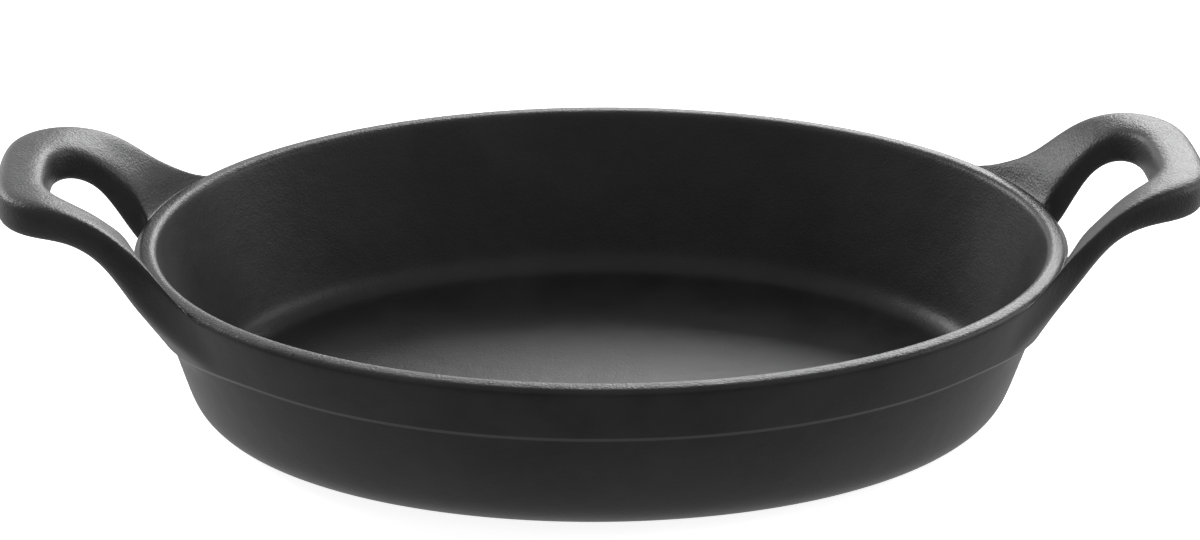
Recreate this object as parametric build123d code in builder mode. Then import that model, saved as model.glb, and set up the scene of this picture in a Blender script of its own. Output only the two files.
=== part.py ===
from build123d import *
import math
import os

# An oval gratin dish of enamelled cast iron with a loop handle at each end.
# Millimetres, +Z up, +X towards the right-hand handle.
# The origin is the middle of the underside, on the plane that the dish stands on.

# Driving dimensions of the dish
rim_length = 200.0            # crest of the rim, end to end
rim_width = 140.0             # crest of the rim, across the middle
dish_height = 41.5            # underside to the crest of the rim
end_turn = 37.0               # the arc round each end of the oval turns this far each way
side_turn = 67.0              # the arc along each side begins this far round, in degrees
shoulder_share = 1.15         # radius between them, as a share of the ellipse's at 45 degrees
lip_width = 4.6               # thickness of the wall at the rim, measured level
lip_round = 2.0               # rounding of both edges of the lip
band_depth = 13.6             # crest of the rim to the lower edge of the band
band_proud = 0.8              # how far the band stands out from the wall below it
wall_draft = 16.0             # lean of the wall, in degrees from upright
inner_draft = 18.0            # lean of the inside of the wall, in degrees from upright
floor_thickness = 4.6         # iron under the floor of the dish
base_round = 14.0             # outside round from wall to underside
floor_round = 5.0             # inside round from wall to floor
foot_width = 7.0              # level ring that the dish stands on
foot_recess = 0.8             # depth of the underside inside that ring

# Driving dimensions of a handle. Distances out run from the crest at the end of the rim
handle_reach = 31.0           # crest of the rim to the tip of the handle
handle_rise = 18.6            # top of the handle above the crest of the rim
handle_thickness = 8.6        # top to underside at the tip
handle_turn = 55.0            # the rising surfaces turn about an axis this far inside the crest
root_sink = 1.8               # start of the top surface, below the crest
top_level_out = 24.0          # the top is level from here out
top_slope = 50.0              # steepest climb of the top, in degrees
top_crown_radius = 17.5       # crown where the top levels out
top_valley_radius = 3.0       # hollow where the top leaves the lip
under_level_out = 20.5        # the underside is level from here out
under_slope = 60.0            # steepest climb of the underside, in degrees
under_hollow_radius = 12.0    # hollow for the fingers where the underside levels out
side_lean = 18.0              # each arm leans in by this angle, in degrees, seen from above
tip_width = 36.0              # width of the handle where its sides would meet the tip
tip_crown = 2.0               # bow of the tip, seen from above
tip_corner_radius = 13.0      # outer corners of the tip, seen from above
flare_start = 0.5             # the arms begin to flare here, inside the crest
flare_radius = 30.0           # flare of the arms into the band, seen from above
flare_turn = 12.0             # how far that flare turns, in degrees
flare_tail = 18.0             # straight run from the flare into the wall
arm_width = 10.5              # each arm, across
tip_bar_width = 11.5          # the bar across the tip, across
hole_root_radius = 11.0       # corners of the finger hole beside the dish
hole_tip_radius = 7.0         # corners of the finger hole beside the tip

step_turn = 12.0              # turned rounds are stepped by about this angle, in degrees
overrun = 5.0                 # how far a cutting or trimming shape runs past what it cuts

# Sizes worked out from the driving dimensions
half_lip = lip_width / 2
band_lean = math.tan(math.radians(wall_draft))
inner_lean = math.tan(math.radians(inner_draft))
band_bottom = dish_height - band_depth
floor_level = foot_recess + floor_thickness
rim_crest = dish_height
wall_at_band = half_lip - band_depth * band_lean
wall_at_base = wall_at_band - band_proud - band_bottom * band_lean
cavity_at_floor = -half_lip - (dish_height - floor_level) * inner_lean
base_centre = wall_at_base - base_round * math.tan(math.radians((90 - wall_draft) / 2))
foot_inset = base_centre - foot_width
lip_centre = half_lip - lip_round / math.tan(math.radians((90 - wall_draft) / 2))
inner_lip_centre = -half_lip + lip_round / math.tan(math.radians((90 + inner_draft) / 2))
floor_centre = cavity_at_floor - floor_round * math.tan(math.radians((90 - inner_draft) / 2))

# The rim's oval: eight arcs that meet in line and lie within 0.2 mm of an ellipse. The
# radii of the end and side arcs follow from where the shoulder arcs must meet them
half_length = rim_length / 2
half_width = rim_width / 2
mean_square = (half_length ** 2 + half_width ** 2) / 2
shoulder_radius = shoulder_share * (half_length * half_width) ** 2 / mean_square ** 1.5
end_cos = math.cos(math.radians(end_turn))
end_sin = math.sin(math.radians(end_turn))
side_cos = math.cos(math.radians(side_turn))
side_sin = math.sin(math.radians(side_turn))
length_left = half_length - shoulder_radius * (end_cos - side_cos)
width_left = half_width - shoulder_radius * (side_sin - end_sin)
turn_left = (1 - end_cos) * (1 - side_sin) - side_cos * end_sin
end_radius = (length_left * (1 - side_sin) - side_cos * width_left) / turn_left
side_radius = ((1 - end_cos) * width_left - length_left * end_sin) / turn_left
end_centre = half_length - end_radius
side_centre = half_width - side_radius
shoulder_centre = (end_centre + (end_radius - shoulder_radius) * end_cos,
                   (end_radius - shoulder_radius) * end_sin)


def rim_oval(offset_out):
    """Draw the rim's oval, moved out by a distance (in, where it is negative)."""
    for way, half_turn in ((1, 0), (-1, 180)):
        CenterArc((way * end_centre, 0), end_radius + offset_out,
                  half_turn - end_turn, 2 * end_turn)
        CenterArc((way * shoulder_centre[0], way * shoulder_centre[1]),
                  shoulder_radius + offset_out, half_turn + end_turn, side_turn - end_turn)
        CenterArc((0, way * side_centre), side_radius + offset_out,
                  half_turn + side_turn, 180 - 2 * side_turn)
        CenterArc((-way * shoulder_centre[0], way * shoulder_centre[1]),
                  shoulder_radius + offset_out, half_turn + 180 - side_turn,
                  side_turn - end_turn)


def round_rings(centre_out, centre_level, radius, first_turn, last_turn):
    """List the rings of a round, each as a distance out and a level. A turn of nothing
    points outwards and a quarter turn points up."""
    steps = round(abs(last_turn - first_turn) / step_turn)
    turns = [math.radians(first_turn + (last_turn - first_turn) * step / steps)
             for step in range(steps + 1)]
    return [(centre_out + radius * math.cos(turn), centre_level + radius * math.sin(turn))
            for turn in turns]


# The rings of the dish, from below upwards: its wall, the band, and the hollow inside
wall_rings = round_rings(base_centre, base_round, base_round, -90, -wall_draft)
wall_rings.append((wall_at_band - band_proud, band_bottom))
band_rings = [(wall_at_band, band_bottom)]
band_rings += round_rings(lip_centre, rim_crest - lip_round, lip_round, -wall_draft, 90)
hollow_rings = round_rings(floor_centre, floor_level + floor_round, floor_round,
                           -90, -inner_draft)
hollow_rings += round_rings(inner_lip_centre, rim_crest - lip_round, lip_round,
                            180 - inner_draft, 90)

# Outer form of the dish, filled: the lower wall, then the band that stands proud of it
with BuildPart() as outer_form:
    for rings in (wall_rings, band_rings):
        for offset_out, level in rings:
            with BuildSketch(Plane.XY.offset(level)):
                with BuildLine():
                    rim_oval(offset_out)
                make_face()
        loft(ruled=True)

# The dish: the outer form, hollowed, with its underside recessed inside the foot ring
with BuildPart() as dish_body:
    add(outer_form.part)
    for offset_out, level in hollow_rings:
        with BuildSketch(Plane.XY.offset(level)):
            with BuildLine():
                rim_oval(offset_out)
            make_face()
    loft(ruled=True, mode=Mode.SUBTRACT)
    with BuildSketch(Plane.XY):
        with BuildLine():
            rim_oval(foot_inset)
        make_face()
    extrude(amount=foot_recess, mode=Mode.SUBTRACT)
dish_body.part.label = "dish_body"

# Shape of a handle, seen from the side. Distances run outwards from the upright axis
# that its rising surfaces turn about
turn_axis_at = rim_length / 2 - handle_turn
end_out = handle_turn + handle_reach + overrun
top_level = rim_crest + handle_rise
under_level = top_level - handle_thickness
start_level = rim_crest - root_sink
climb = math.radians(top_slope)
under_climb = math.radians(under_slope)
crown = round_rings(handle_turn + top_level_out, top_level - top_crown_radius,
                    top_crown_radius, 90, 90 + top_slope)
valley_level = start_level + top_valley_radius * (1 - math.cos(climb))
valley_out = crown[-1][0] - (crown[-1][1] - valley_level) / math.tan(climb)
valley = round_rings(valley_out - top_valley_radius * math.sin(climb),
                     start_level + top_valley_radius, top_valley_radius, top_slope - 90, -90)
finger_hollow = round_rings(handle_turn + under_level_out, under_level - under_hollow_radius,
                            under_hollow_radius, 90 + under_slope, 90)
under_foot = finger_hollow[0][0] - (finger_hollow[0][1] - band_bottom) / math.tan(under_climb)

# Shape of a handle, seen from above
lean = math.radians(side_lean)
arm_level_width = arm_width / math.cos(lean)
tip_at = rim_length / 2 + handle_reach
corner_at = tip_at - tip_crown
flare_at = rim_length / 2 - flare_start
hole_tip_at = tip_at - tip_bar_width
hole_root_at = rim_length / 2 + wall_at_band - band_proud - overrun


def side_y(x):
    """Give the half width of the handle where its straight sides pass x."""
    return tip_width / 2 + (corner_at - x) * math.tan(lean)


def hole_y(x):
    """Give the half width of the finger hole where its straight sides pass x."""
    return side_y(x) - arm_level_width


# The handle on the right. Its rising surfaces turn about an upright axis inside the dish,
# so they climb evenly outwards from the curved end of the band
with BuildPart() as handle_right:
    with BuildSketch(Plane((turn_axis_at, 0, 0), x_dir=(-1, 0, 0), z_dir=(0, 1, 0))):
        with BuildLine():
            Polyline((0, band_bottom), (under_foot, band_bottom), *finger_hollow,
                     (end_out, under_level), (end_out, top_level), *crown, *valley,
                     (0, start_level), close=True)
        make_face()
    revolve(axis=Axis((turn_axis_at, 0, 0), (0, 0, 1)))
    with BuildSketch(Plane.XY.offset(band_bottom)) as outline:
        with BuildLine():
            side = Line((corner_at, side_y(corner_at)), (flare_at, side_y(flare_at)))
            flare = JernArc(start=side @ 1, tangent=side % 1, radius=flare_radius,
                            arc_size=-flare_turn)
            inner = Line(flare @ 1, flare @ 1 + flare % 1 * flare_tail)
            Line(inner @ 1, ((inner @ 1).X, 0))
            mirror(about=Plane.XZ)
            ThreePointArc(side @ 0, (tip_at, 0), (corner_at, -side_y(corner_at)))
        make_face()
        fillet(outline.vertices().group_by(Axis.X)[-1], tip_corner_radius)
    extrude(amount=top_level - band_bottom, mode=Mode.INTERSECT)
    with BuildSketch(Plane.XY.offset(band_bottom)) as finger_hole:
        with BuildLine():
            Polyline((hole_root_at, hole_y(hole_root_at)), (hole_tip_at, hole_y(hole_tip_at)),
                     (hole_tip_at, -hole_y(hole_tip_at)), (hole_root_at, -hole_y(hole_root_at)),
                     close=True)
        make_face()
        fillet(finger_hole.vertices().group_by(Axis.X)[0], hole_root_radius)
        fillet(finger_hole.vertices().group_by(Axis.X)[-1], hole_tip_radius)
    extrude(amount=top_level - band_bottom, mode=Mode.SUBTRACT)
    add(outer_form.part, mode=Mode.SUBTRACT)
handle_right.part.label = "handle_right"

# The handle on the left is its mirror image
with BuildPart() as handle_left:
    add(handle_right.part)
    mirror(about=Plane.YZ, mode=Mode.REPLACE)
handle_left.part.label = "handle_left"

os.makedirs("parts", exist_ok=True)
for piece in (dish_body, handle_left, handle_right):
    export_step(piece.part, f"parts/{piece.part.label}.step")
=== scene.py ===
"""An oval gratin dish of enamelled cast iron, modelled as one seamless casting."""
import math

import bmesh
import bpy
from mathutils import Matrix, Vector


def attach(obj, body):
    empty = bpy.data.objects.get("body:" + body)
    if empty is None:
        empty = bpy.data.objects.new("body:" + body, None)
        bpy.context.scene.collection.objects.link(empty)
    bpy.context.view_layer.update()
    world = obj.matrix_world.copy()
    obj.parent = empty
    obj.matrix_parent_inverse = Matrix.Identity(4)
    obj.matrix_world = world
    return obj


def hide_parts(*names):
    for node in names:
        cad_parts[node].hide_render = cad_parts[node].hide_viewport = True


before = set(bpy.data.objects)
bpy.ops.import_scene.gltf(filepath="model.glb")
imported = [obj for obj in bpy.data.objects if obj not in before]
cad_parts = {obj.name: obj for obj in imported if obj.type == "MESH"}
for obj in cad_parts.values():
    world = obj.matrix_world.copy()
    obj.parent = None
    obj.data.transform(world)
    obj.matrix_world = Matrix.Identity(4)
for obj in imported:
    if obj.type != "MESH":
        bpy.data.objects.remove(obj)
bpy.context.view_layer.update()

bl_info = {
    "name": "Gratin dish",
    "version": (1, 0, 0),
    "blender": (4, 5, 0),
    "location": "3D View > Sidebar > Gratin dish",
    "description": "Models an oval gratin dish of enamelled cast iron and its studio",
    "category": "Object",
}

MM = 0.001
CAD_NODES = ("dish_body", "handle_left", "handle_right")

# Cage of the dish, with its columns counted from the end of the oval
SEGMENTS = 96                       # columns round the whole dish
RING_GAP = 6.0 * MM                 # widest gap between two rings
STEP_ABOVE_SHARE = 0.3              # share of the band's step that lies above its lower edge
FLOOR_ROUNDS = 3                    # the floor's last ring, in floor rounds from the wall
CENTRE_SHARES = (0.75, 0.6, 0.5)    # rings of a flat middle, each against the one round it
MERGE_WITHIN = 0.02 * MM            # points nearer than this become one
SAME_LEVEL = 0.01 * MM              # points nearer in height than this are on one ring
OVAL_MARGIN = 0.001                 # a point this far off an oval of radius 1 is still on it
COLUMN_MARGIN = 0.3                 # a point this part of a column away is still on it

# The band at the ends of the oval
SWELL_SHARES = (1.0, 0.95, 0.7, 0.3)    # swell between the arms, by column
SWELL_REACH = (1.0 * MM, 0.25 * MM)     # it takes points this far below and above the lip's start
DIP_COLUMNS = (3, 11)                   # the deeper band fades out between these columns

# Arms, each grown out of the band in one quarter
ROOT_COLUMNS = (3, 8)                   # an arm leaves the band between these columns
ROOT_TOP_SHARE = 0.8                    # top of the root below the lip, in outer lip rounds
ROOT_REACH = 15 * MM                    # the shape of a root fades out over this, from the crest
SPREAD_FROM = 12 * MM                   # full spread this far from the middle of the handle
SIDE_STARTS = (-3.0 * MM, 2.6 * MM)     # start of the outer and the gap side, out from the crest
CURVE_STEPS = 12                        # points along each curve of an outline
ARM_STATIONS = 10                       # sections along an arm
COLUMN_SHARES = (0.0, 0.24, 0.42, 0.58, 0.76, 1.0)  # across an arm, from the gap side
ROW_SHARES = (0.0, 0.3, 0.7, 1.0)       # up an arm, from its underside

# Each arm, with its side of the dish in X and Y and its own shape in millimetres
ARMS = {
    "arm_far_right": (1, 1, {"under_drop": 2.0, "gap_flare": 3.0, "inner_spread": 1.6,
                             "outer_spread": 1.6}),
    "arm_near_right": (1, -1, {"inner_lift": 1.4, "outer_lift": 1.6, "under_drop": -1.5}),
    "arm_far_left": (-1, 1, {"inner_lift": 1.0, "outer_lift": 2.0, "under_drop": 1.6,
                             "gap_flare": 2.0, "outer_spread": 1.6}),
    "arm_near_left": (-1, -1, {"inner_lift": 4.2, "outer_lift": 2.6, "under_drop": 0.8,
                               "gap_flare": 1.5}),
}

# Enamel
PATCH_SIZE = 18 * MM                    # size of the lighter patches
PATCH_STOPS = (0.35, 0.75)              # noise where the lighter patches begin and are full
GLOSS_RANGE = (-0.05, 0.07)             # roughness below and above the named one
FINE_DEPTH = 0.16 * MM                  # depth of the fine grain
FINE_STRENGTHS = (0.35, 0.8)            # below the rim, and on the rim and the handles
BROAD_DEPTH = 0.5 * MM                  # depth of the ripples
BROAD_STRENGTHS = (0.2, 0.35)           # below the rim, and on the rim and the handles
SKIN_LEVELS = (39.5 * MM, 41.5 * MM)    # the skin turns coarser between these heights

# Stage. A glow is given by its start and end, and by its strength at each
WHITE = (1, 1, 1, 1)
SEEN_STRENGTH = 1.0                     # strength of the surroundings to the camera
FLOOR_SPAN = 6.0                        # length of the floor's sides, in metres
FLOOR_ROUGHNESS = 0.9
FLOOR_SPECULAR = 0.1
FLOOR_LIFT = 0.86                       # glow that makes the floor white to the camera
FOOT_OVAL = (85 * MM, 55 * MM)          # half the length and half the width of the foot
# painted glow of the floor, seen only in the dish's reflections: bright behind, lighter close
# round the foot, dim far in front
GLOW_BEHIND = (-0.15, 0.15, 0.03, 1.2)  # mirrored floor, from front to back, in metres
GLOW_BESIDE = (1.0, 1.5, 0.45, 0.0)     # mirrored floor round the foot, in foot ovals
GLOW_TURN = (0.3, 0.95)                 # the surroundings brighten towards the back

# Each lamp, with its place, the point that it looks at, its size and its watts
LAMPS = (
    ("lamp_back", (0.5, 1.2, 0.75), (0.0, 0.0, 0.03), (0.9, 0.6), 20.0),
    ("lamp_left", (-1.1, 0.72, 0.65), (0.0, 0.0, 0.04), (0.6, 0.5), 13.0),
    ("lamp_right", (1.2, 0.0, 0.5), (0.1, 0.0, 0.04), (0.6, 0.6), 4.0),
)

# Camera, with angles in radians
CAMERA_RISE = 0.458
CAMERA_SIDE = 0.07
CAMERA_ROLL = -0.015
CREST_FROM_CAMERA = (0.745 * MM, 7.839 * MM, 725.5 * MM)    # right, up and ahead
SENSOR_WIDTH = 36


def length(text, about, millimetres):
    """A size that the user may change, given in millimetres and kept in metres."""
    return bpy.props.FloatProperty(name=text, description=about, default=millimetres * MM,
                                   subtype="DISTANCE", unit="LENGTH", precision=5)


def angle(text, about, degrees):
    """An angle that the user may change."""
    return bpy.props.FloatProperty(name=text, description=about, default=math.radians(degrees),
                                   subtype="ANGLE", unit="ROTATION")


def amount(text, about, value, low=0.0, high=100.0):
    """A plain number that the user may change."""
    return bpy.props.FloatProperty(name=text, description=about, default=value, min=low, max=high)


def colour(text, about, value):
    """A colour that the user may change."""
    return bpy.props.FloatVectorProperty(name=text, description=about, default=value, size=3,
                                         subtype="COLOR", min=0.0, max=1.0)


class DishSizes(bpy.types.PropertyGroup):
    """Sizes of the oval dish."""
    rim_length: length("Rim length", "Crest of the rim, end to end", 200.0)
    rim_width: length("Rim width", "Crest of the rim, across the middle", 140.0)
    height: length("Height", "Table to the crest of the rim", 41.5)
    lip_width: length("Lip width", "Thickness of the wall at the rim", 4.2)
    lip_fall: length("Lip fall", "How much lower the outer edge of the lip lies", 0.45)
    lip_round: length("Lip round", "Rounding of the lip's inner edge", 2.0)
    lip_outer_round: length("Lip outer round", "Rounding of the lip's outer edge", 1.3)
    band_depth: length("Band depth", "Crest of the rim to the lower edge of the band", 13.6)
    band_proud: length("Band step", "How far the band stands out from the wall", 0.8)
    step_rise: length("Step rise", "Height over which the band slopes back to the wall", 1.3)
    step_round: length("Step round", "Rounding of the band's step", 0.5)
    wall_draft: angle("Wall lean", "Lean of the wall from upright", 16.0)
    inner_draft: angle("Inner lean", "Lean of the inside of the wall from upright", 18.0)
    floor_level: length("Floor level", "Table to the floor of the dish", 5.4)
    floor_round: length("Floor round", "Hollow from the wall to the floor", 7.0)
    base_round: length("Base round", "Round from the wall to the underside", 12.5)
    foot_width: length("Foot width", "Level ring that the dish stands on", 7.0)
    foot_recess: length("Foot recess", "Depth of the underside inside the ring", 0.8)
    foot_round: length("Foot round", "Rounding of the ring's inner edge", 0.3)


class HandleSizes(bpy.types.PropertyGroup):
    """Sizes of one loop handle. Distances out run from the crest at the end of the rim."""
    reach: length("Reach", "Crest of the rim to the tip", 31.0)
    rise: length("Rise", "Top of the handle above the crest", 18.6)
    thickness: length("Thickness", "Top to underside at the tip", 8.6)
    turn: length("Turn", "The slopes turn about an axis this far inside the crest", 55.0)
    root_sink: length("Root sink", "Start of the top surface, below the crest", 1.8)
    top_level_out: length("Top levels out", "The top is level from here out", 24.0)
    top_slope: angle("Top slope", "Steepest climb of the top", 50.0)
    crown_radius: length("Crown", "Crown where the top levels out", 17.5)
    valley_radius: length("Valley", "Hollow where the top leaves the lip", 3.0)
    under_level_out: length("Underside levels out", "The underside is level from here out", 20.5)
    under_slope: angle("Underside slope", "Steepest climb of the underside", 60.0)
    hollow_radius: length("Finger hollow", "Hollow where the underside levels out", 12.0)
    side_lean: angle("Side lean", "Lean of each arm, seen from above", 18.0)
    tip_width: length("Tip width", "Width where the sides would meet the tip", 37.2)
    tip_crown: length("Tip bow", "Bow of the tip, seen from above", 2.0)
    tip_corner: length("Tip corner", "Outer corners of the tip, seen from above", 13.0)
    arm_width: length("Arm width", "Each arm, across", 11.1)
    bar_width: length("Bar width", "The bar across the tip, across", 11.5)
    hole_corner: length("Hole corner", "Corners of the finger hole beside the tip", 7.0)
    side_draft: length("Side draft", "How far an arm's gap side leans back at the top", 0.9)
    web: length("Root web", "How far the band swells out under the lip between the arms", 1.54)
    band_dip: length("Band dip", "How much deeper the band is under a handle", 3.6)
    inner_pull: length("Inner edge pull", "Draws in the edges beside the gap, to round them", 0.3)
    outer_pull: length("Outer edge pull", "Draws in the outer edges, to round them", 0.65)


class ArmShape(bpy.types.PropertyGroup):
    """How one arm departs from the plain shape, near its root or in its spread."""
    inner_lift: length("Inner lift", "Raises the edge beside the finger gap", 0.0)
    outer_lift: length("Outer lift", "Raises the outer edge", 0.0)
    under_drop: length("Underside drop", "Lowers the underside", 0.0)
    gap_flare: length("Gap flare", "Widens the arm into the finger gap", 0.0)
    inner_spread: length("Inner spread", "Moves the side beside the finger gap outward", 0.0)
    outer_spread: length("Outer spread", "Moves the outer side outward", 0.0)


class EnamelLook(bpy.types.PropertyGroup):
    """Finish of the satin black enamel."""
    black: colour("Black", "Colour of the enamel", (0.016, 0.016, 0.017))
    worn: colour("Lighter black", "Colour of its lighter patches", (0.030, 0.030, 0.031))
    roughness: amount("Roughness", "Roughness of the satin surface", 0.44, 0.0, 1.0)
    grain: length("Grain", "Size of the fine grain", 0.55)
    ripple: length("Ripple", "Size of the soft ripples of the casting", 5.0)


class StageLook(bpy.types.PropertyGroup):
    """Floor, surrounding light and camera."""
    floor: colour("Floor", "Colour of the floor", (0.85, 0.85, 0.85))
    front: amount("Front light", "Strength of the surroundings in front and above", 0.33)
    back: amount("Back light", "Strength of the surroundings low behind the dish", 1.3)
    lens: amount("Lens", "Focal length of the camera, in millimetres", 99.25, 1.0, 500.0)


def soft(share):
    """Ease a share in and out between 0 and 1."""
    share = min(1.0, max(0.0, share))
    return share * share * (3 - 2 * share)


def edit(piece):
    """Take a piece into edit mode and give its mesh."""
    bpy.context.view_layer.objects.active = piece
    if piece.mode != "EDIT":
        bpy.ops.object.mode_set(mode="EDIT")
    return bmesh.from_edit_mesh(piece.data)


def leave_edit():
    """Go back to object mode."""
    if bpy.context.object and bpy.context.object.mode == "EDIT":
        bpy.ops.object.mode_set(mode="OBJECT")


def select_points(piece, wanted):
    """Select the points of a piece whose place passes a test, and nothing else."""
    mesh = edit(piece)
    bpy.ops.mesh.select_all(action="DESELECT")
    for vertex in mesh.verts:
        if wanted(vertex.co):
            vertex.select = True
    mesh.select_flush(True)
    bmesh.update_edit_mesh(piece.data)


def resize_plan(along, across):
    """Resize what is selected in X and Y, about the middle of the dish."""
    bpy.ops.transform.resize(value=(along, across, 1), center_override=(0, 0, 0))


def apply_modifier(piece, kind, **settings):
    """Add a modifier to a piece, set it and apply it."""
    modifier = piece.modifiers.new(kind.title(), kind)
    for key, value in settings.items():
        setattr(modifier, key, value)
    bpy.context.view_layer.objects.active = piece
    bpy.ops.object.modifier_apply(modifier=modifier.name)


def round_corner(before, corner, after, radius, steps):
    """Give ring points that make a smooth surface follow an arc in a corner of the profile."""
    into, out = (before - corner).normalized(), (after - corner).normalized()
    half = into.angle(out) / 2
    centre = corner + (into + out).normalized() * radius / math.sin(half)
    start = corner + into * radius / math.tan(half) - centre
    end = corner + out * radius / math.tan(half) - centre
    turn = start.angle_signed(end)
    # smoothing draws points on an arc inward, so those between its ends start further out
    reach = 3 / (2 + math.cos(turn / steps))
    points = []
    for step in range(steps + 1):
        spoke = start.copy()
        spoke.rotate(Matrix.Rotation(-turn * step / steps, 2))
        points.append(centre + spoke * (1 if step in (0, steps) else reach))
    return points


def profile_corners(sizes):
    """Give the corners of the dish's profile, each as out from the crest, level, radius, steps."""
    lean = math.tan(sizes.wall_draft)
    band_bottom = sizes.height - sizes.band_depth
    half_lip = sizes.lip_width / 2
    step_up = sizes.step_rise * STEP_ABOVE_SHARE
    step_down = sizes.step_rise - step_up
    at_band = half_lip - sizes.band_depth * lean
    at_wall = at_band - sizes.band_proud
    at_base = at_wall - band_bottom * lean
    at_floor = -half_lip - (sizes.height - sizes.floor_level) * math.tan(sizes.inner_draft)
    at_foot = (at_base - sizes.foot_width
               - sizes.base_round * math.tan((math.pi / 2 - sizes.wall_draft) / 2))
    return [
        (at_foot - sizes.foot_width, sizes.foot_recess, 0, 1),
        (at_foot, sizes.foot_recess, sizes.foot_round, 2),
        (at_foot, 0, sizes.foot_round, 2),
        (at_base, 0, sizes.base_round, 5),
        (at_wall - step_down * lean, band_bottom - step_down, sizes.step_round, 2),
        (at_band + step_up * lean, band_bottom + step_up, sizes.step_round, 2),
        (half_lip, sizes.height - sizes.lip_fall, sizes.lip_outer_round, 4),
        (-half_lip, sizes.height, sizes.lip_round, 4),
        (at_floor, sizes.floor_level, sizes.floor_round, 4),
        (at_floor - FLOOR_ROUNDS * sizes.floor_round, sizes.floor_level, 0, 1),
    ]


def dish_profile(sizes):
    """Give the rings of the dish from the foot, up the outside, over the lip, to the floor."""
    corners = profile_corners(sizes)
    spots = [Vector(corner[:2]) for corner in corners]
    rings = []
    for index, (_, _, radius, steps) in enumerate(corners):
        if radius:
            points = round_corner(spots[index - 1], spots[index], spots[index + 1], radius, steps)
        else:
            points = [spots[index]]
        if rings:
            gap = (points[0] - rings[-1]).length
            fill = max(0, math.ceil(gap / RING_GAP) - 1)
            rings += [rings[-1].lerp(points[0], (i + 1) / (fill + 1)) for i in range(fill)]
        rings += points
    return rings


def quarter_dish(sizes):
    """Raise a quarter of the dish ring by ring from a quarter of a circle."""
    bpy.ops.mesh.primitive_circle_add(vertices=SEGMENTS, radius=1, fill_type="NOTHING")
    dish = bpy.context.object
    dish.name = dish.data.name = "gratin_dish_casting"
    select_points(dish, lambda spot: min(spot.x, spot.y) < -OVAL_MARGIN)
    bpy.ops.mesh.delete(type="VERT")
    bpy.ops.mesh.select_all(action="SELECT")
    rings = dish_profile(sizes)
    half_length, half_width = sizes.rim_length / 2, sizes.rim_width / 2
    first = now = Vector((half_length + rings[0].x, half_width + rings[0].x))
    resize_plan(now.x, now.y)
    bpy.ops.transform.translate(value=(0, 0, rings[0].y))
    for ring, following in zip(rings, rings[1:]):
        after = Vector((half_length + following.x, half_width + following.x))
        climb_by = (0, 0, following.y - ring.y)
        bpy.ops.mesh.extrude_region_move(TRANSFORM_OT_translate={"value": climb_by})
        resize_plan(after.x / now.x, after.y / now.y)
        now = after
    close_centre()

    def on_first_ring(spot):
        away = (spot.x / first.x) ** 2 + (spot.y / first.y) ** 2
        return abs(spot.z - rings[0].y) < SAME_LEVEL and away < 1 + OVAL_MARGIN

    select_points(dish, on_first_ring)
    close_centre()
    return dish


def close_centre():
    """Close a flat middle with smaller and smaller rings, down to a point."""
    for share in (*CENTRE_SHARES, 0):
        bpy.ops.mesh.extrude_region_move()
        resize_plan(share, share)
    bpy.ops.mesh.remove_doubles(threshold=MERGE_WITHIN)


def column_of(spot, sizes):
    """Give the column of the cage that a spot lies on, with a fraction between two."""
    return math.atan2(spot.y / sizes.rim_width, spot.x / sizes.rim_length) * SEGMENTS / math.tau


def is_outside(spot, sizes):
    """Tell whether a spot lies on the outside of the wall, and not on the inside."""
    lean = math.tan(sizes.wall_draft) * (sizes.height - spot.z)
    return ((spot.x / (sizes.rim_length / 2 - lean)) ** 2
            + (spot.y / (sizes.rim_width / 2 - lean)) ** 2) > 1


def move_band(dish, sizes, low, high, column, value):
    """Move the outside of the band at one column, between two levels."""
    def on_band(spot):
        return (low < spot.z < high and abs(column_of(spot, sizes) - column) < COLUMN_MARGIN
                and is_outside(spot, sizes))

    select_points(dish, on_band)
    bpy.ops.transform.translate(value=value)


def shape_band(dish, sizes, handle):
    """Swell the band out under the lip between the arms, and deepen it under the handle."""
    lip_start = (sizes.height - sizes.lip_fall
                 - sizes.lip_outer_round * (1 + math.sin(sizes.wall_draft)))
    below, above = SWELL_REACH
    for column, share in enumerate(SWELL_SHARES):
        move_band(dish, sizes, lip_start - below, lip_start + above, column,
                  (handle.web * share, 0, 0))
    bottom = sizes.height - sizes.band_depth
    full, last = DIP_COLUMNS
    for column in range(last):
        fade = 1 - soft((column - full) / (last - full))
        move_band(dish, sizes, bottom - sizes.step_rise, bottom + sizes.step_rise, column,
                  (0, 0, -handle.band_dip * fade))


def climb(out, start, low_round, slope, high_round, level_at, level):
    """Give the level of a surface that leaves start, climbs at a slope and levels out."""
    crown_out = level_at - high_round * math.sin(slope)
    crown_level = level - high_round * (1 - math.cos(slope))
    valley_level = start + low_round * (1 - math.cos(slope))
    valley_out = crown_out - (crown_level - valley_level) / math.tan(slope)
    foot_out = valley_out - low_round * math.sin(slope)
    if out >= level_at:
        return level
    if out >= crown_out:
        return level - high_round + math.sqrt(high_round ** 2 - (level_at - out) ** 2)
    if out >= valley_out:
        return crown_level - (crown_out - out) * math.tan(slope)
    if out >= foot_out and low_round:
        return start + low_round - math.sqrt(low_round ** 2 - (out - foot_out) ** 2)
    return start


def arc(centre, radius, start, end, first=0):
    """Give points along an arc of the plan from one angle to another, from the first step on."""
    turns = [start + (end - start) * step / CURVE_STEPS for step in range(first, CURVE_STEPS + 1)]
    return [centre + radius * Vector((math.cos(turn), math.sin(turn))) for turn in turns]


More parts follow.
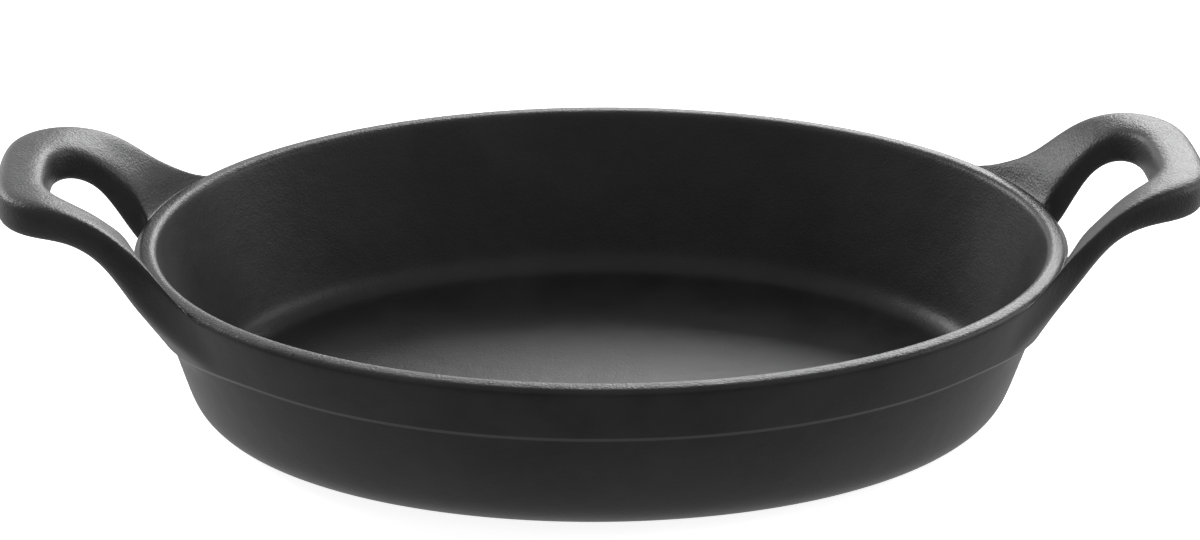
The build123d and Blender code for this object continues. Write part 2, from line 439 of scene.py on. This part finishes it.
class LoopHandle:
    """Shape of one loop handle and of the arm that is grown, from their named sizes."""

    def __init__(self, sizes, handle, arm):
        self.sizes, self.handle, self.arm = sizes, handle, arm
        self.crest = sizes.rim_length / 2
        self.tip = self.crest + handle.reach
        self.corner = self.tip - handle.tip_crown

    def levels(self, spot):
        """Give the underside and the top at a spot of the plan."""
        handle, sizes = self.handle, self.sizes
        axis = Vector((self.crest - handle.turn, 0))
        out = (spot - axis).length - handle.turn
        top_level = sizes.height + handle.rise
        top = climb(out, sizes.height - handle.root_sink, handle.valley_radius, handle.top_slope,
                    handle.crown_radius, handle.top_level_out, top_level)
        under = climb(out, sizes.height - sizes.band_depth, 0, handle.under_slope,
                      handle.hollow_radius, handle.under_level_out, top_level - handle.thickness)
        return under, top

    def outer_side(self, x):
        """Give the Y of the arm's outer side at an X."""
        return self.handle.tip_width / 2 + (self.corner - x) * math.tan(self.handle.side_lean)

    def gap_side(self, x):
        """Give the Y of the arm's side beside the finger gap at an X."""
        return self.outer_side(x) - self.handle.arm_width / math.cos(self.handle.side_lean)

    def outer_path(self):
        """Give the outer outline from the root to the middle of the tip."""
        handle, lean = self.handle, self.handle.side_lean
        bow = ((handle.tip_width / 2) ** 2 + handle.tip_crown ** 2) / (2 * handle.tip_crown)
        bow_centre = Vector((self.tip - bow, 0))
        side_normal = Vector((math.sin(lean), math.cos(lean)))
        along = Vector((-math.cos(lean), math.sin(lean)))
        side_spot = Vector((self.corner, handle.tip_width / 2))
        # the corner's arc lies against the straight side and inside the bow of the tip
        base = side_spot - side_normal * handle.tip_corner - bow_centre
        middle = base.dot(along)
        swing = math.sqrt(middle ** 2 - base.length_squared + (bow - handle.tip_corner) ** 2)
        run = min(swing - middle, -swing - middle, key=abs)
        centre = base + bow_centre + along * run
        tip_turn = math.atan2(centre.y, centre.x - bow_centre.x)
        start = self.crest + SIDE_STARTS[0]
        return [Vector((start, self.outer_side(start))),
                *arc(centre, handle.tip_corner, math.pi / 2 - lean, tip_turn),
                *arc(bow_centre, bow, tip_turn, 0, first=1)]

    def hole_path(self):
        """Give the outline of the finger hole from the root to the middle of the bar."""
        radius = self.handle.hole_corner
        quarter = math.pi / 2 - self.handle.side_lean
        hole_tip = self.tip - self.handle.bar_width
        centre = Vector((hole_tip - radius,
                         self.gap_side(hole_tip) - radius * math.tan(quarter / 2)))
        start = self.crest + SIDE_STARTS[1]
        return [Vector((start, self.gap_side(start))),
                *arc(centre, radius, quarter, 0),
                Vector((hole_tip, 0))]


def along_path(points, share):
    """Give the spot at a share of a path's length."""
    runs = [(b - a).length for a, b in zip(points, points[1:])]
    left = share * sum(runs)
    for start, end, run in zip(points, points[1:], runs):
        if left <= run:
            return start.lerp(end, left / run)
        left -= run
    return points[-1].copy()


def select_root(dish, sizes):
    """Select the faces of the band that the arm leaves, and give their columns and rows."""
    mesh = edit(dish)
    bpy.ops.mesh.select_all(action="DESELECT")
    lowest = sizes.height - sizes.band_depth + sizes.step_round
    highest = sizes.height - sizes.lip_fall - ROOT_TOP_SHARE * sizes.lip_outer_round
    first, last = ROOT_COLUMNS
    count = 0
    for face in mesh.faces:
        spot = face.calc_center_median()
        if (first < column_of(spot, sizes) < last and lowest < spot.z < highest
                and is_outside(spot, sizes)):
            face.select = True
            count += 1
    bmesh.update_edit_mesh(dish.data)
    columns = last - first
    if count % columns:
        raise RuntimeError(f"the root patch has {count} faces for {columns} columns")
    return columns, count // columns


def patch_grid(mesh, columns, rows):
    """Give the selected points by column and row."""
    spots = sorted((vertex.co.copy() for vertex in mesh.verts if vertex.select),
                   key=lambda spot: spot.z)
    grid = {}
    for row in range(rows + 1):
        ring = sorted(spots[row * (columns + 1):(row + 1) * (columns + 1)],
                      key=lambda spot: math.atan2(spot.y, spot.x))
        for column, spot in enumerate(ring):
            grid[column, row] = spot
    return grid


def arm_section(shape, inner, outer, columns, rows):
    """Give the points of one section across an arm, with its edges drawn in."""
    arm = shape.arm
    across = (outer - inner).normalized()
    pulls = {0: shape.handle.inner_pull, columns: shape.handle.outer_pull}
    section = {}
    for column in range(columns + 1):
        share = COLUMN_SHARES[column]
        spot = inner.lerp(outer, share)
        near_root = soft(1 - (spot.x - shape.crest) / ROOT_REACH)
        under, top = shape.levels(spot)
        under -= arm.under_drop * near_root
        top += (arm.inner_lift * (1 - share) + arm.outer_lift * share) * near_root
        spot -= across * arm.gap_flare * near_root * (1 - share)
        spread = arm.inner_spread * (1 - share) + arm.outer_spread * share
        spot.y += spread * min(1.0, spot.y / SPREAD_FROM) * (1 - near_root)
        for row in range(rows + 1):
            level = under + (top - under) * ROW_SHARES[row]
            place = spot + across * shape.handle.side_draft * ROW_SHARES[row] * (1 - share)
            if column in pulls and row in (0, rows):
                pull = pulls[column]
                place += across * (pull if column == 0 else -pull)
                level += pull if row == 0 else -pull
            section[column, row] = Vector((place.x, place.y, level))
    return section


def grow_arm(dish, sizes, handle, arm):
    """Extrude one arm out of the band, up and round to the middle of the tip."""
    shape = LoopHandle(sizes, handle, arm)
    columns, rows = select_root(dish, sizes)
    grid = patch_grid(edit(dish), columns, rows)
    outer, hole = shape.outer_path(), shape.hole_path()
    for station in range(ARM_STATIONS + 1):
        share = station / ARM_STATIONS
        section = arm_section(shape, along_path(hole, share), along_path(outer, share),
                              columns, rows)
        bpy.ops.mesh.extrude_region_move()
        for vertex in edit(dish).verts:
            if vertex.select:
                key = min(grid, key=lambda k: (grid[k] - vertex.co).length_squared)
                vertex.co = section[key]
        bmesh.update_edit_mesh(dish.data)
        grid = section
    # the arm ends open, at the points that it shares with the arm of the next quarter
    bpy.ops.mesh.delete(type="ONLY_FACE")
    mesh = edit(dish)
    loose = [vertex for vertex in mesh.verts if not vertex.link_faces]
    bmesh.ops.delete(mesh, geom=loose, context="VERTS")
    bmesh.update_edit_mesh(dish.data)


class OBJECT_OT_cast_gratin_dish(bpy.types.Operator):
    """Model the oval dish and its two loop handles as one casting"""
    bl_idname = "object.cast_gratin_dish"
    bl_label = "Cast the gratin dish"

    def execute(self, context):
        sizes, handle = context.scene.dish_sizes, context.scene.handle_sizes
        leave_edit()
        quarters = []
        for name, (way_x, way_y, _) in ARMS.items():
            bpy.ops.object.select_all(action="DESELECT")
            quarter = quarter_dish(sizes)
            shape_band(quarter, sizes, handle)
            grow_arm(quarter, sizes, handle, getattr(context.scene, name))
            bpy.ops.mesh.select_all(action="SELECT")
            resize_plan(way_x, way_y)
            leave_edit()
            quarters.append(quarter)
        for quarter in quarters:
            quarter.select_set(True)
        dish = quarters[0]
        bpy.context.view_layer.objects.active = dish
        bpy.ops.object.join()
        edit(dish)
        bpy.ops.mesh.select_all(action="SELECT")
        bpy.ops.mesh.remove_doubles(threshold=MERGE_WITHIN)
        bpy.ops.mesh.normals_make_consistent(inside=False)
        leave_edit()
        apply_modifier(dish, "SUBSURF", levels=2, render_levels=2)
        bpy.ops.object.shade_smooth()
        dish.data.materials.append(black_enamel(context.scene.enamel_look))
        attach(dish, "root")
        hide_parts(*CAD_NODES)
        return {"FINISHED"}


def node(tree, kind, place, **settings):
    """Add a shader node, set its values and give it."""
    made = tree.nodes.new(kind)
    made.location = place
    for key, value in settings.items():
        if key in made.inputs:
            made.inputs[key].default_value = value
        else:
            setattr(made, key, value)
    return made


def ramp_between(tree, place, start, end, first, last):
    """Add a node that turns one range of values softly into another."""
    made = node(tree, "ShaderNodeMapRange", place, interpolation_type="SMOOTHSTEP")
    for name, value in (("From Min", start), ("From Max", end), ("To Min", first),
                        ("To Max", last)):
        made.inputs[name].default_value = value
    return made


def noise(tree, spot, place, size, detail, roughness):
    """Add noise of a given size to a material, and give its output."""
    made = node(tree, "ShaderNodeTexNoise", place, Scale=1 / size, Detail=detail,
                Roughness=roughness)
    tree.links.new(spot.outputs["Object"], made.inputs["Vector"])
    return made.outputs["Fac"]


def skin_bump(tree, level, place, height, depth, strengths):
    """Add a bump that is coarser on the rim and the handles than below them."""
    strength = ramp_between(tree, (place[0] - 250, place[1]), *SKIN_LEVELS, *strengths)
    tree.links.new(level, strength.inputs["Value"])
    bump = node(tree, "ShaderNodeBump", place, Distance=depth)
    tree.links.new(height, bump.inputs["Height"])
    tree.links.new(strength.outputs["Result"], bump.inputs["Strength"])
    return bump


def black_enamel(look):
    """Make the satin black enamel, with fine grain, soft ripples and lighter patches."""
    material = bpy.data.materials.new("black_enamel")
    material.use_nodes = True
    tree = material.node_tree
    link = tree.links.new
    shader = tree.nodes["Principled BSDF"]
    spot = node(tree, "ShaderNodeTexCoord", (-1200, 0))
    patches = noise(tree, spot, (-900, 300), PATCH_SIZE, detail=4.0, roughness=0.6)
    grain = noise(tree, spot, (-900, -100), look.grain, detail=2.0, roughness=0.5)
    ripple = noise(tree, spot, (-900, -400), look.ripple, detail=2.0, roughness=0.5)
    tint = node(tree, "ShaderNodeValToRGB", (-600, 300))
    for stop, position, shade in zip(tint.color_ramp.elements, PATCH_STOPS,
                                     (look.black, look.worn)):
        stop.position = position
        stop.color = (*shade, 1)
    link(patches, tint.inputs["Fac"])
    link(tint.outputs["Color"], shader.inputs["Base Color"])
    gloss = node(tree, "ShaderNodeMapRange", (-600, 0))
    gloss.inputs["To Min"].default_value = look.roughness + GLOSS_RANGE[0]
    gloss.inputs["To Max"].default_value = look.roughness + GLOSS_RANGE[1]
    link(patches, gloss.inputs["Value"])
    link(gloss.outputs["Result"], shader.inputs["Roughness"])
    split = node(tree, "ShaderNodeSeparateXYZ", (-900, -700))
    link(spot.outputs["Object"], split.inputs[0])
    fine = skin_bump(tree, split.outputs["Z"], (-300, -200), grain, FINE_DEPTH, FINE_STRENGTHS)
    broad = skin_bump(tree, split.outputs["Z"], (-350, -450), ripple, BROAD_DEPTH,
                      BROAD_STRENGTHS)
    link(broad.outputs["Normal"], fine.inputs["Normal"])
    link(fine.outputs["Normal"], shader.inputs["Normal"])
    return material


class SCENE_OT_set_gratin_stage(bpy.types.Operator):
    """Set the floor, the lamps, the surrounding light and the camera"""
    bl_idname = "scene.set_gratin_stage"
    bl_label = "Set the stage"

    def execute(self, context):
        look = context.scene.stage_look
        leave_edit()
        bpy.ops.object.select_all(action="DESELECT")
        bpy.ops.mesh.primitive_plane_add(size=FLOOR_SPAN, location=(0, 0, 0))
        floor = context.object
        floor.name = "floor"
        floor.data.materials.append(floor_paint(look))
        for name, place, aim, size, power in LAMPS:
            add_lamp(name, place, aim, size, power)
        light_world(context.scene, look)
        set_camera(context.scene, look)
        context.scene.view_settings.view_transform = "Standard"
        return {"FINISHED"}


def add_lamp(name, place, aim, size, power):
    """Add a soft rectangular lamp that looks at a point."""
    bpy.ops.object.light_add(type="AREA", location=place)
    lamp = bpy.context.object
    lamp.name = name
    lamp.data.shape = "RECTANGLE"
    lamp.data.size, lamp.data.size_y = size
    lamp.data.energy = power
    lamp.rotation_euler = (Vector(aim) - Vector(place)).to_track_quat("-Z", "Y").to_euler()


def floor_glow_seen_in_reflections(tree):
    """Make the painted glow that the dish mirrors in place of the floor, bright behind it, lighter
    close round its foot and dim further in front.
    """
    link = tree.links.new
    spot = node(tree, "ShaderNodeTexCoord", (-1300, -200))
    split = node(tree, "ShaderNodeSeparateXYZ", (-1100, -400))
    link(spot.outputs["Object"], split.inputs[0])
    behind = ramp_between(tree, (-900, -400), *GLOW_BEHIND)
    link(split.outputs["Y"], behind.inputs["Value"])
    oval = node(tree, "ShaderNodeVectorMath", (-1100, -100), operation="MULTIPLY")
    oval.inputs[1].default_value = (1 / FOOT_OVAL[0], 1 / FOOT_OVAL[1], 0)
    link(spot.outputs["Object"], oval.inputs[0])
    away = node(tree, "ShaderNodeVectorMath", (-900, -100), operation="LENGTH")
    link(oval.outputs["Vector"], away.inputs[0])
    beside = ramp_between(tree, (-700, -100), *GLOW_BESIDE)
    link(away.outputs["Value"], beside.inputs["Value"])
    total = node(tree, "ShaderNodeMath", (-500, -200), operation="ADD")
    link(behind.outputs["Result"], total.inputs[0])
    link(beside.outputs["Result"], total.inputs[1])
    shine = node(tree, "ShaderNodeEmission", (-300, -200), Color=WHITE)
    link(total.outputs[0], shine.inputs["Strength"])
    return shine.outputs[0]


def floor_paint(look):
    """Make the pale floor, which the camera sees as white outside the shadow, and which the dish's
    reflections see as a painted glow instead.
    """
    material = bpy.data.materials.new("pale_floor")
    material.use_nodes = True
    tree = material.node_tree
    link = tree.links.new
    shader = tree.nodes["Principled BSDF"]
    shader.inputs["Base Color"].default_value = (*look.floor, 1)
    shader.inputs["Roughness"].default_value = FLOOR_ROUGHNESS
    shader.inputs["Specular IOR Level"].default_value = FLOOR_SPECULAR
    path = node(tree, "ShaderNodeLightPath", (-300, 400))
    share = node(tree, "ShaderNodeMath", (-100, 400), operation="MULTIPLY")
    share.inputs[1].default_value = FLOOR_LIFT
    link(path.outputs["Is Camera Ray"], share.inputs[0])
    lift = node(tree, "ShaderNodeEmission", (-300, 100), Color=WHITE)
    link(share.outputs[0], lift.inputs["Strength"])
    lit = node(tree, "ShaderNodeAddShader", (100, 100))
    link(shader.outputs[0], lit.inputs[0])
    link(lift.outputs[0], lit.inputs[1])
    # reflections see the painted glow in place of the lit floor
    choose = node(tree, "ShaderNodeMixShader", (300, 100))
    link(path.outputs["Is Glossy Ray"], choose.inputs[0])
    link(lit.outputs[0], choose.inputs[1])
    link(floor_glow_seen_in_reflections(tree), choose.inputs[2])
    link(choose.outputs[0], tree.nodes["Material Output"].inputs["Surface"])
    return material


def light_world(scene, look):
    """Light the surroundings, brightest low at the back, and show the camera plain white."""
    world = bpy.data.worlds.new("studio")
    world.use_nodes = True
    scene.world = world
    tree = world.node_tree
    link = tree.links.new
    background = tree.nodes["Background"]
    background.inputs["Color"].default_value = WHITE
    way = node(tree, "ShaderNodeTexCoord", (-1100, 0))
    split = node(tree, "ShaderNodeSeparateXYZ", (-900, 0))
    link(way.outputs["Generated"], split.inputs[0])
    glow = ramp_between(tree, (-700, 0), *GLOW_TURN, look.front, look.back)
    link(split.outputs["Y"], glow.inputs["Value"])
    path = node(tree, "ShaderNodeLightPath", (-600, 300))
    strength = node(tree, "ShaderNodeMix", (-300, 200), data_type="FLOAT")
    strength.inputs["B"].default_value = SEEN_STRENGTH
    link(path.outputs["Is Camera Ray"], strength.inputs["Factor"])
    link(glow.outputs["Result"], strength.inputs["A"])
    link(strength.outputs["Result"], background.inputs["Strength"])


def set_camera(scene, look):
    """Stand the camera where the photograph was taken."""
    rise, side, roll = CAMERA_RISE, CAMERA_SIDE, CAMERA_ROLL
    right = Vector((math.cos(side), -math.sin(side), 0))
    ahead = Vector((math.sin(side) * math.cos(rise), math.cos(side) * math.cos(rise),
                    -math.sin(rise)))
    up = Vector((math.sin(side) * math.sin(rise), math.cos(side) * math.sin(rise),
                 math.cos(rise)))
    crest = Vector((0, 0, scene.dish_sizes.height))
    x, y, z = CREST_FROM_CAMERA
    place = crest - right * x - up * y - ahead * z
    image_right = right * math.cos(roll) - up * math.sin(roll)
    image_up = right * math.sin(roll) + up * math.cos(roll)
    turn = Matrix((image_right, image_up, -ahead)).transposed().to_4x4()
    data = bpy.data.cameras.new("camera")
    data.lens = look.lens
    data.sensor_width = SENSOR_WIDTH
    camera = bpy.data.objects.new("camera", data)
    scene.collection.objects.link(camera)
    camera.matrix_world = Matrix.Translation(place) @ turn
    scene.camera = camera


class VIEW3D_PT_gratin_dish(bpy.types.Panel):
    """Lists the sizes, the finish and the steps of the gratin dish"""
    bl_label = "Gratin dish"
    bl_space_type = "VIEW_3D"
    bl_region_type = "UI"
    bl_category = "Gratin dish"

    def draw(self, context):
        for name in GROUPS:
            group = getattr(context.scene, name)
            box = self.layout.box()
            box.label(text=name.replace("_", " ").capitalize())
            for key in group.__annotations__:
                box.prop(group, key)
        self.layout.operator(OBJECT_OT_cast_gratin_dish.bl_idname)
        self.layout.operator(SCENE_OT_set_gratin_stage.bl_idname)


CLASSES = (DishSizes, HandleSizes, ArmShape, EnamelLook, StageLook, OBJECT_OT_cast_gratin_dish,
           SCENE_OT_set_gratin_stage, VIEW3D_PT_gratin_dish)
GROUPS = {"dish_sizes": DishSizes, "handle_sizes": HandleSizes, "enamel_look": EnamelLook,
          "stage_look": StageLook, **{name: ArmShape for name in ARMS}}


def register():
    """Register the classes and hang the groups of sizes on the scene."""
    for kind in CLASSES:
        bpy.utils.register_class(kind)
    for key, kind in GROUPS.items():
        setattr(bpy.types.Scene, key, bpy.props.PointerProperty(type=kind))


def unregister():
    """Take the groups and classes away again."""
    for key in GROUPS:
        delattr(bpy.types.Scene, key)
    for kind in reversed(CLASSES):
        bpy.utils.unregister_class(kind)


def main():
    """Give each arm its own shape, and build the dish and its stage."""
    register()
    for name, (_, _, values) in ARMS.items():
        for key, millimetres in values.items():
            setattr(getattr(bpy.context.scene, name), key, millimetres * MM)
    bpy.ops.object.cast_gratin_dish()
    bpy.ops.scene.set_gratin_stage()


if __name__ == "__main__":
    main()
